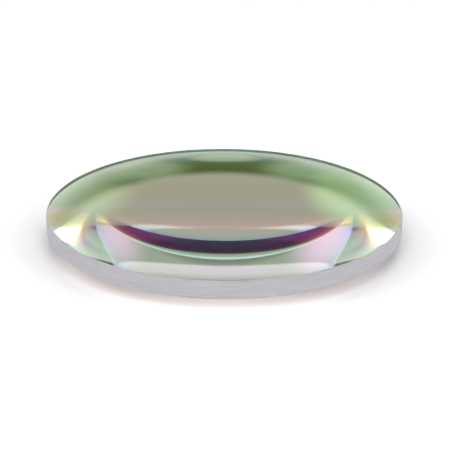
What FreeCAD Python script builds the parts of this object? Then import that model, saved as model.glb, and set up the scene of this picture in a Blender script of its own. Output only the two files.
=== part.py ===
import FreeCAD, Part, Sketcher
import enum
import math
import os

# Biconvex lens: one disc of fused silica with two convex spherical faces, a fine-ground cylindrical
# edge, and a narrow protective bevel where each face meets that edge. The optical axis is +Z. The
# origin is the lens's centre, halfway between the vertices of the two faces.

doc = FreeCAD.newDocument("biconvex_lens")

# Driving dimensions in millimetres: alias, value, what it measures
DIMENSIONS = [
    ("lens_diameter", 50.8, "outside diameter, at the ground edge"),
    ("centre_thickness", 6.5, "glass along the optical axis, from vertex to vertex"),
    ("front_radius", 167.0, "radius of curvature of the upper face"),
    ("back_radius", 167.0, "radius of curvature of the lower face"),
    ("bevel_leg", 0.2, "each leg of the 45 degree bevels between the faces and the edge"),
]
sizes = doc.addObject("Spreadsheet::Sheet", "sizes")
for row, (alias, value, meaning) in enumerate(DIMENSIONS, start=1):
    sizes.set("A%d" % row, meaning)
    sizes.set("B%d" % row, str(value))
    sizes.setAlias("B%d" % row, alias)
doc.recompute()


class Point(enum.IntEnum):
    """The number by which a sketch knows each point of an element."""

    START = 1
    END = 2
    CENTRE = 3


class Axis(enum.IntEnum):
    """The number by which a sketch knows its own axes."""

    HORIZONTAL = -1
    VERTICAL = -2


SKETCH_ORIGIN = (Axis.HORIZONTAL, Point.START)


def origin_plane(body, role):
    """The plane of the body's own origin that has this role."""
    return next(item for item in body.Origin.OriginFeatures if item.Role == role)


def face_arc(curvature_radius, polished_radius, side):
    """Half the section of a face, between its vertex and the bevel.

    side is 1 for the upper face, drawn from bevel to vertex, and -1 for the lower one, drawn from
    vertex to bevel, so that the outline runs one way round.
    """
    centre_height = side * (sizes.centre_thickness / 2 - curvature_radius)
    bevel_angle = math.acos(polished_radius / curvature_radius)
    circle = Part.Circle(
        FreeCAD.Vector(0, centre_height, 0), FreeCAD.Vector(0, 0, 1), curvature_radius
    )
    if side > 0:
        return Part.ArcOfCircle(circle, bevel_angle, math.pi / 2)
    return Part.ArcOfCircle(circle, -math.pi / 2, -bevel_angle)


def half_section(body):
    """The right half of the lens's section, anticlockwise from the foot of the ground edge."""
    rim_radius = sizes.lens_diameter / 2
    polished_radius = rim_radius - sizes.bevel_leg
    front_arc = face_arc(sizes.front_radius, polished_radius, 1)
    back_arc = face_arc(sizes.back_radius, polished_radius, -1)
    edge_top = front_arc.StartPoint + FreeCAD.Vector(sizes.bevel_leg, -sizes.bevel_leg, 0)
    edge_foot = back_arc.EndPoint + FreeCAD.Vector(sizes.bevel_leg, sizes.bevel_leg, 0)

    sketch = body.newObject("Sketcher::SketchObject", "half_section")
    sketch.AttachmentSupport = [(origin_plane(body, "XZ_Plane"), "")]
    sketch.MapMode = "FlatFace"
    outline = [
        Part.LineSegment(edge_foot, edge_top),
        Part.LineSegment(edge_top, front_arc.StartPoint),
        front_arc,
        Part.LineSegment(front_arc.EndPoint, back_arc.StartPoint),
        back_arc,
        Part.LineSegment(back_arc.EndPoint, edge_foot),
    ]
    elements = list(sketch.addGeometry(outline))
    edge, upper_bevel, front, axis, back, lower_bevel = elements

    def constrain(*constraint):
        return sketch.addConstraint(Sketcher.Constraint(*constraint))

    def drive(name, expression, *constraint):
        """Adds a dimension that takes its value from the sheet."""
        sketch.renameConstraint(constrain(*constraint), name)
        sketch.setExpression("Constraints." + name, expression)

    for element, following in zip(elements, elements[1:] + elements[:1]):
        constrain("Coincident", element, Point.END, following, Point.START)
    constrain("Vertical", edge)
    constrain("PointOnObject", front, Point.END, Axis.VERTICAL)
    constrain("PointOnObject", front, Point.CENTRE, Axis.VERTICAL)
    constrain("PointOnObject", back, Point.CENTRE, Axis.VERTICAL)
    constrain("Symmetric", axis, Point.START, axis, Point.END, *SKETCH_ORIGIN)

    drive("rim_radius", "sizes.lens_diameter / 2",
          "DistanceX", *SKETCH_ORIGIN, edge, Point.START, rim_radius)
    drive("centre_thickness", "sizes.centre_thickness",
          "DistanceY", axis, Point.END, axis, Point.START, sizes.centre_thickness)
    drive("front_radius", "sizes.front_radius", "Radius", front, sizes.front_radius)
    drive("back_radius", "sizes.back_radius", "Radius", back, sizes.back_radius)
    drive("upper_bevel_width", "sizes.bevel_leg",
          "DistanceX", upper_bevel, Point.END, upper_bevel, Point.START, sizes.bevel_leg)
    drive("upper_bevel_height", "sizes.bevel_leg",
          "DistanceY", upper_bevel, Point.START, upper_bevel, Point.END, sizes.bevel_leg)
    drive("lower_bevel_width", "sizes.bevel_leg",
          "DistanceX", lower_bevel, Point.START, lower_bevel, Point.END, sizes.bevel_leg)
    drive("lower_bevel_height", "sizes.bevel_leg",
          "DistanceY", lower_bevel, Point.START, lower_bevel, Point.END, sizes.bevel_leg)
    return sketch


def make_lens():
    """The lens: its half section turned once round the optical axis."""
    body = doc.addObject("PartDesign::Body", "lens")
    body.Label = "lens"
    section = half_section(body)
    turned = body.newObject("PartDesign::Revolution", "turned_lens")
    turned.Profile = section
    turned.ReferenceAxis = (section, ["V_Axis"])
    turned.Angle = 360
    section.Visibility = False
    return body


lens = make_lens()
doc.recompute()

for item in doc.Objects:
    if "Invalid" in item.State or "Error" in item.State:
        raise RuntimeError("%s was not rebuilt: %s" % (item.Label, item.State))
if lens.Shape.isNull() or not lens.Shape.isValid() or len(lens.Shape.Solids) != 1:
    raise RuntimeError("the lens is not one valid solid")

os.makedirs("parts", exist_ok=True)
lens.Shape.exportStep("parts/%s.step" % lens.Label)

ground_edge = next(face for face in lens.Shape.Faces if isinstance(face.Surface, Part.Cylinder))
print("lens: %.3f mm across, %.3f mm thick at the centre, ground edge %.3f mm, %.1f mm3" % (
    lens.Shape.BoundBox.XLength, lens.Shape.BoundBox.ZLength, ground_edge.BoundBox.ZLength,
    lens.Shape.Volume))
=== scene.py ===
import math

import bpy
from mathutils import Matrix, Vector


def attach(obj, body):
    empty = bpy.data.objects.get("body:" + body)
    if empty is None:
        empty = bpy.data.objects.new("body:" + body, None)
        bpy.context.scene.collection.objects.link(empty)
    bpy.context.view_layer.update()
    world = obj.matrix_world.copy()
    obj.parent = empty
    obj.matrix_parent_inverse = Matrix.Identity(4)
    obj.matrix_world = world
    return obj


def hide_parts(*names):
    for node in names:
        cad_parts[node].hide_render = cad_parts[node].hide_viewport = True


# A biconvex lens 50.8 mm across, lying on its lower face on a white table: two polished and coated
# spherical faces, a fine-ground edge and a ground bevel where each face meets that edge. +Z is the
# optical axis and the origin is the lens's centre, as in the CAD.

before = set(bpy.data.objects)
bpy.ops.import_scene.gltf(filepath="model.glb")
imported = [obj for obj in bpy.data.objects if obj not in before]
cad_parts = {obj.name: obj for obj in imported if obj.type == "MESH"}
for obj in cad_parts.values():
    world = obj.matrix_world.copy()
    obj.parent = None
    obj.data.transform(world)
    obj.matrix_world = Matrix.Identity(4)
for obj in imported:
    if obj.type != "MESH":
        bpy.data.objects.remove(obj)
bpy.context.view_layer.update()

MM = 0.001

# The lens, in millimetres, as in the part's source
RIM_RADIUS = 25.4
CENTRE_THICKNESS = 6.5
FACE_CURVATURE = 167.0
BEVEL_LEG = 0.2

# How finely the lens is turned: rings from a face's centre to its bevel, and steps round the axis
FACE_RINGS = 60
TURN_STEPS = 480

# The glass, and the one film that stands for its coating. The tint and the film's values are set
# to match the photograph, and aren't a real glass's or coating's.
SILICA_IOR = 1.4585
GLASS_TINT = "#e6f6dc"
COATING_IOR = 1.12
COATING_PATH = 1080.0       # nanometres of optical path through the film at a face's centre
COATING_AT_RIM = 0.968      # share of that at the rim; the face's tilt alone would leave 0.99

# The ground edge: pits and wheel marks in millimetres
GROUND_PALE = "#d0cfd3"
GROUND_GREY = "#b6b4b9"
GROUND_ROUGHNESS = 0.6
GROUND_CLARITY = 0.5        # share that acts as rough glass; the rest is matt, like chalk
GRIT = 0.12                 # real pits are near 0.02
WHEEL_MARK = 0.16           # between marks; real ones are near 0.03
MARK_STRETCH = 25           # how much longer a mark is than it is tall
GRIT_WEIGHT = 0.8           # the pits' part in the height, where the marks' is 1
BUMP_DEPTH = 0.06
BUMP_STRENGTH = 0.35

# The table, and soft ovals of glow on it, in millimetres. They stand for the light that the lens
# passes to the table, but they are placed and coloured to match the photograph. The second one
# only lightens the shadow in front.
TABLE_WHITE = "#f7f7f7"
TABLE_WIDTH = 1300.0
# Each oval is painted light: a glow that the table gives off, though it is no lamp
LIGHT_POOLS = [
    # centre, half width and half depth, share of them where the fading starts, level, colour
    ((-0.5, -5.0), (24.5, 22.3), 0.84, 0.42, "#ffeee8"),
    ((0.0, -24.0), (22.0, 12.0), 0.0, 0.30, "#ffffff"),
    ((-20.0, 9.0), (8.5, 13.0), 0.3, 0.30, "#ccf6be"),
    ((18.5, 9.0), (8.5, 13.0), 0.4, 0.42, "#c0f4b4"),
    ((-11.5, 18.0), (8.0, 6.5), 0.3, 0.30, "#dcf8cc"),
    ((11.5, 18.0), (8.0, 6.5), 0.3, 0.32, "#d0f6c4"),
    ((0.0, 23.2), (7.0, 2.7), 0.40, 0.36, "#e4ffdc"),
]

# The studio. Levels are radiances, where 1 is as bright as white. Angles are in degrees: elevation
# above the table, and azimuth clockwise from +Y, the side away from the camera. The lens's real
# surroundings aren't known, so the walls, the reflectors and their tints are set to match the
# photograph too.
TENT_LEVELS = [
    # elevation, level
    (-1, 1.0), (4, 0.5), (8, 0.46), (11, 0.42), (31, 0.40), (35, 0.24), (41, 0.24), (50, 0.1),
    (90, 0.1),
]
REFLECTORS = [
    # name, azimuth, elevation, (angle from its centre, level) from the outside in, colour
    ("arch", 0, 4, [(29.3, 0.0), (28.0, 0.60), (24.5, 0.52), (21, 0.0)], "#e6c4ff"),
    ("left", -46, 17, [(28, 0.0), (6, 0.8)], "#f0a8ff"),
    ("right", 46, 14, [(24, 0.0), (4, 0.55)], "#f0a8ff"),
    ("left_front", -118, 6, [(38, 0.0), (12, 1.0)], "#ffffff"),
    ("right_front", 118, 6, [(38, 0.0), (12, 1.2)], "#ffffff"),
]
SOFTBOXES = [
    # name, place in metres, width and depth in metres, level
    ("overhead_softbox", (0.0, 0.14, 0.60), (1.20, 0.98), 0.42),
    ("front_softbox", (0.0, -0.35, 0.45), (0.50, 0.50), 2.2),
    ("left_softbox", (-0.62, 0.0, 0.34), (0.90, 0.60), 1.4),
    ("right_softbox", (0.62, 0.0, 0.34), (0.90, 0.60), 1.4),
]

# The camera, fitted to the photograph's outline: degrees, metres, and millimetres for its own
# lens and sensor
CAMERA_ELEVATION = 22.056
CAMERA_ROLL = 0.294
CAMERA_DISTANCE = 0.254
CAMERA_SHIFT = (0.0004, -0.0159)    # sideways and upwards, as shares of the frame's width
NEAREST_SEEN = 0.01
FOCAL_LENGTH = 142.05
SENSOR_WIDTH = 36


def linear(hex_colour):
    """An sRGB hex colour as linear RGBA."""
    channels = [int(hex_colour[place:place + 2], 16) / 255 for place in (1, 3, 5)]
    return [
        value / 12.92 if value <= 0.04045 else ((value + 0.055) / 1.055) ** 2.4
        for value in channels
    ] + [1.0]


def levelled(level, hex_colour="#ffffff"):
    """A colour at a level, where 1 leaves it as it is written."""
    return [level * value for value in linear(hex_colour)[:3]] + [1.0]


def add_node(tree, kind, links=(), **settings):
    """Adds a node. settings are its sockets or properties; links are (socket, source output).

    A socket goes by its name, with _ for each space, or by its number, as socket_1.
    """
    node = tree.nodes.new(kind)
    for name, value in settings.items():
        label = name.replace("_", " ")
        if name.startswith("socket_"):
            node.inputs[int(name.removeprefix("socket_"))].default_value = value
        elif label in node.inputs:
            node.inputs[label].default_value = value
        else:
            setattr(node, name, value)
    for socket, source in links:
        tree.links.new(source, node.inputs[socket])
    return node


def shade(ramp_node, stops):
    """Gives a colour ramp its (position, colour) stops."""
    elements = ramp_node.color_ramp.elements
    while len(elements) < len(stops):
        elements.new(1.0)
    for element, (position, colour) in zip(elements, stops):
        element.position = position
        element.color = colour


def new_material(name):
    """An empty material, ready for its nodes."""
    material = bpy.data.materials.new(name)
    material.use_nodes = True
    material.node_tree.nodes.clear()
    return material


def distance_from(tree, place, centre, reach):
    """How far a place is from a centre, seen from above, as a share of the reach each way."""
    offset = add_node(
        tree, "ShaderNodeVectorMath", [(0, place)], operation="SUBTRACT",
        socket_1=(centre[0] * MM, centre[1] * MM, 0.0),
    )
    share = add_node(
        tree, "ShaderNodeVectorMath", [(0, offset.outputs["Vector"])], operation="MULTIPLY",
        socket_1=(1 / (reach[0] * MM), 1 / (reach[1] * MM), 0.0),
    )
    return add_node(
        tree, "ShaderNodeVectorMath", [(0, share.outputs["Vector"])], operation="LENGTH",
    ).outputs["Value"]


def polished_coated_silica():
    """Fused silica, polished to a mirror and coated by evaporation.

    A real coating is a stack of layers; one film of low index stands for it here. It reflects
    green at a glance along the face, beige from a little higher and purple from above that, and
    passes what is left. Fused silica has no colour of its own; the faint green tint only brings
    the lens nearer to the photograph.
    """
    material = new_material("polished_coated_silica")
    tree = material.node_tree
    place = add_node(tree, "ShaderNodeTexCoord").outputs["Object"]
    distance = distance_from(tree, place, (0.0, 0.0), (RIM_RADIUS, RIM_RADIUS))
    coating = add_node(
        tree, "ShaderNodeMapRange", [("Value", distance)],
        interpolation_type="SMOOTHSTEP",
        To_Min=COATING_PATH / COATING_IOR, To_Max=COATING_AT_RIM * COATING_PATH / COATING_IOR,
    )
    glass = add_node(
        tree, "ShaderNodeBsdfPrincipled", [("Thin Film Thickness", coating.outputs["Result"])],
        Base_Color=linear(GLASS_TINT), Roughness=0.0, IOR=SILICA_IOR, Transmission_Weight=1.0,
        Thin_Film_IOR=COATING_IOR,
    )
    add_node(tree, "ShaderNodeOutputMaterial", [("Surface", glass.outputs["BSDF"])])
    return material


def fine_ground_silica():
    """Fused silica, ground with loose grit and left unpolished: the edge and the bevels.

    The pits scatter the light, so it looks like matt frosted glass, pale grey with a soft sheen.
    The wheel that centred the lens leaves faint marks round it. Pits and marks are drawn five or
    six times as coarse as real ones, which would be too fine to see.
    """
    material = new_material("fine_ground_silica")
    tree = material.node_tree
    place = add_node(tree, "ShaderNodeTexCoord").outputs["Object"]
    grit = add_node(
        tree, "ShaderNodeTexNoise", [("Vector", place)],
        Scale=1 / (GRIT * MM), Detail=3.0, Roughness=0.6,
    )
    along_edge = add_node(
        tree, "ShaderNodeVectorMath", [(0, place)], operation="MULTIPLY",
        socket_1=(1 / MARK_STRETCH, 1 / MARK_STRETCH, 1.0),
    )
    wheel_marks = add_node(
        tree, "ShaderNodeTexNoise", [("Vector", along_edge.outputs["Vector"])],
        Scale=1 / (WHEEL_MARK * MM), Detail=2.0,
    )
    height = add_node(
        tree, "ShaderNodeMath", [(0, grit.outputs["Fac"]), (2, wheel_marks.outputs["Fac"])],
        operation="MULTIPLY_ADD", socket_1=GRIT_WEIGHT,
    )
    bumps = add_node(
        tree, "ShaderNodeBump", [("Height", height.outputs["Value"])],
        Strength=BUMP_STRENGTH, Distance=BUMP_DEPTH * MM,
    )
    mottle = add_node(tree, "ShaderNodeValToRGB", [("Fac", height.outputs["Value"])])
    shade(mottle, [(0.55, linear(GROUND_GREY)), (1.0, linear(GROUND_PALE))])
    glass = add_node(
        tree, "ShaderNodeBsdfPrincipled",
        [("Base Color", mottle.outputs["Color"]), ("Normal", bumps.outputs["Normal"])],
        Roughness=GROUND_ROUGHNESS, IOR=SILICA_IOR, Transmission_Weight=GROUND_CLARITY,
    )
    add_node(tree, "ShaderNodeOutputMaterial", [("Surface", glass.outputs["BSDF"])])
    return material


def white_acrylic_and_painted_light():
    """Matt white acrylic sheet: plain and even, so the lens's soft shadow shows on it.

    The paths that bring light through polished glass to the table render as noise, so they are
    turned off and painted light is drawn here instead: a soft glow that the table gives off. It
    isn't worked out from the optics: it is beige in the middle and green at the back and sides
    because that makes the lens look as it does in the photograph, and it gives the lens most of
    its green. A gap in it, at the back, shows in the lens as the dark crescent and as a dark patch
    at the top. From behind and from above, the ovals and the gap can be seen, through the glass
    and on the table beside it.
    """
    material = new_material("white_acrylic_and_painted_light")
    tree = material.node_tree
    sheet = add_node(tree, "ShaderNodeBsdfDiffuse", Color=linear(TABLE_WHITE))
    place = add_node(tree, "ShaderNodeTexCoord").outputs["Object"]
    surface = sheet.outputs["BSDF"]
    for centre, reach, fading, level, colour in LIGHT_POOLS:
        pool = add_node(
            tree, "ShaderNodeMapRange", [("Value", distance_from(tree, place, centre, reach))],
            interpolation_type="SMOOTHSTEP", From_Min=fading, To_Min=level, To_Max=0.0,
        )
        # Painted light: the oval's glow, added on top of the plain white sheet
        glow = add_node(
            tree, "ShaderNodeEmission", [("Strength", pool.outputs["Result"])],
            Color=linear(colour),
        )
        surface = add_node(
            tree, "ShaderNodeAddShader", [(0, surface), (1, glow.outputs["Emission"])],
        ).outputs["Shader"]
    add_node(tree, "ShaderNodeOutputMaterial", [("Surface", surface)])
    return material


def face_section(side):
    """(radius, height) points down one polished face, from its centre to its bevel.

    side is 1 for the upper face and -1 for the lower one.
    """
    polished_radius = RIM_RADIUS - BEVEL_LEG
    points = []
    for ring in range(FACE_RINGS + 1):
        radius = polished_radius * ring / FACE_RINGS
        sag = FACE_CURVATURE - math.sqrt(FACE_CURVATURE ** 2 - radius ** 2)
        points.append((radius, side * (CENTRE_THICKNESS / 2 - sag)))
    return points


def make_lens():
    """The lens in one closed mesh: its half section, turned once round the optical axis."""
    upper_face, lower_face = face_section(1), face_section(-1)
    ground_edge = [
        (RIM_RADIUS, upper_face[-1][1] - BEVEL_LEG),
        (RIM_RADIUS, lower_face[-1][1] + BEVEL_LEG),
    ]
    section = upper_face + ground_edge + lower_face[::-1]
    vertices, rings = [], []
    for radius, height in section:
        if radius == 0:
            rings.append([len(vertices)] * TURN_STEPS)
            vertices.append((0.0, 0.0, height * MM))
            continue
        rings.append(list(range(len(vertices), len(vertices) + TURN_STEPS)))
        for step in range(TURN_STEPS):
            angle = 2 * math.pi * step / TURN_STEPS
            vertices.append((
                radius * MM * math.cos(angle), radius * MM * math.sin(angle), height * MM,
            ))

    # The ground bands are the upper bevel, the edge and the lower bevel, and their four rings are
    # the sharp arrises between them and the faces
    ground_bands = range(FACE_RINGS, FACE_RINGS + 3)
    faces, finishes = [], []
    for band, (ring, next_ring) in enumerate(zip(rings, rings[1:])):
        for step in range(TURN_STEPS):
            after = (step + 1) % TURN_STEPS
            corners = [ring[step], next_ring[step], next_ring[after], ring[after]]
            # At a face's centre two corners are one point, which a face may name only once
            faces.append(list(dict.fromkeys(corners)))
            finishes.append(int(band in ground_bands))

    mesh = bpy.data.meshes.new("lens_glass")
    mesh.from_pydata(vertices, [], faces)
    mesh.polygons.foreach_set("use_smooth", [True] * len(faces))
    mesh.polygons.foreach_set("material_index", finishes)
    mesh.update()
    arrises = {
        frozenset(pair)
        for ring in rings[FACE_RINGS:FACE_RINGS + 4]
        for pair in zip(ring, ring[1:] + ring[:1])
    }
    for edge in mesh.edges:
        if frozenset(edge.vertices) in arrises:
            edge.use_edge_sharp = True
    mesh.materials.append(polished_coated_silica())
    mesh.materials.append(fine_ground_silica())

    lens = bpy.data.objects.new("lens_glass", mesh)
    bpy.context.scene.collection.objects.link(lens)
    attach(lens, "root")
    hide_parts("lens")


def make_table():
    """The table, level with the lowest point of the lens."""
    bpy.ops.mesh.primitive_plane_add(
        size=TABLE_WIDTH * MM, location=(0, 0, -CENTRE_THICKNESS / 2 * MM),
    )
    table = bpy.context.object
    table.name = "table"
    table.data.materials.append(white_acrylic_and_painted_light())


def make_camera():
    """The photograph's view, close and from a little above the table."""
    data = bpy.data.cameras.new("camera")
    data.sensor_width = SENSOR_WIDTH
    data.lens = FOCAL_LENGTH
    data.shift_x, data.shift_y = CAMERA_SHIFT
    data.clip_start = NEAREST_SEEN
    camera = bpy.data.objects.new("camera", data)
    elevation, roll = math.radians(CAMERA_ELEVATION), math.radians(CAMERA_ROLL)
    camera.location = (
        0, -CAMERA_DISTANCE * math.cos(elevation), CAMERA_DISTANCE * math.sin(elevation),
    )
    aim = Matrix.Rotation(math.pi / 2 - elevation, 4, "X") @ Matrix.Rotation(roll, 4, "Z")
    camera.rotation_euler = aim.to_euler()
    bpy.context.scene.collection.objects.link(camera)
    bpy.context.scene.camera = camera


def direction(azimuth, elevation):
    """The unit vector from the lens towards an azimuth and an elevation."""
    azimuth, elevation = math.radians(azimuth), math.radians(elevation)
    return (
        math.sin(azimuth) * math.cos(elevation),
        math.cos(azimuth) * math.cos(elevation),
        math.sin(elevation),
    )


def make_light_tent():
    """Pale walls all round, white at the foot and dark overhead, with soft reflectors on them.

    The reflectors are lilac and pink behind the lens and white at its front sides. The lens is
    clear, so walls and reflectors show on its faces and through them.
    """
    world = bpy.data.worlds.new("light_tent")
    world.use_nodes = True
    bpy.context.scene.world = world
    tree = world.node_tree
    tree.nodes.clear()
    look = add_node(tree, "ShaderNodeTexCoord").outputs["Generated"]
    height = add_node(tree, "ShaderNodeSeparateXYZ", [("Vector", look)]).outputs["Z"]
    upward = add_node(tree, "ShaderNodeMapRange", [("Value", height)], From_Min=-1.0)
    walls = add_node(tree, "ShaderNodeValToRGB", [("Fac", upward.outputs["Result"])])
    shade(walls, [
        (0.5 + 0.5 * math.sin(math.radians(elevation)), levelled(level))
        for elevation, level in TENT_LEVELS
    ])
    total = walls.outputs["Color"]
    for name, azimuth, elevation, levels, colour in REFLECTORS:
        nearness = add_node(
            tree, "ShaderNodeVectorMath", [(0, look)], operation="DOT_PRODUCT",
            socket_1=direction(azimuth, elevation),
        )
        sheen = add_node(
            tree, "ShaderNodeValToRGB", [("Fac", nearness.outputs["Value"])], label=name,
        )
        sheen.color_ramp.interpolation = "EASE"
        shade(sheen, [
            (math.cos(math.radians(angle)), levelled(level, colour)) for angle, level in levels
        ])
        total = add_node(
            tree, "ShaderNodeVectorMath", [(0, total), (1, sheen.outputs["Color"])],
            operation="ADD",
        ).outputs["Vector"]
    tent = add_node(tree, "ShaderNodeBackground", [("Color", total)], Strength=1.0)
    add_node(tree, "ShaderNodeOutputWorld", [("Surface", tent.outputs["Background"])])


def make_softboxes():
    """Large flat lamps. The one overhead hangs level, and the others face the lens."""
    for name, place, size, level in SOFTBOXES:
        lamp = bpy.data.lights.new(name, "AREA")
        lamp.shape = "RECTANGLE"
        lamp.size, lamp.size_y = size
        lamp.energy = level * math.pi * size[0] * size[1]
        softbox = bpy.data.objects.new(name, lamp)
        softbox.location = place
        if name != "overhead_softbox":
            softbox.rotation_euler = Vector(place).to_track_quat("Z", "Y").to_euler()
        bpy.context.scene.collection.objects.link(softbox)


make_camera()
make_lens()
make_table()
make_light_tent()
make_softboxes()

scene = bpy.context.scene
scene.view_settings.view_transform = "Standard"
# Light is caught between the faces by total reflection, so it needs many turns to come out
scene.cycles.max_bounces = 24
scene.cycles.glossy_bounces = 20
scene.cycles.transmission_bounces = 20
scene.cycles.caustics_refractive = False
scene.cycles.caustics_reflective = False
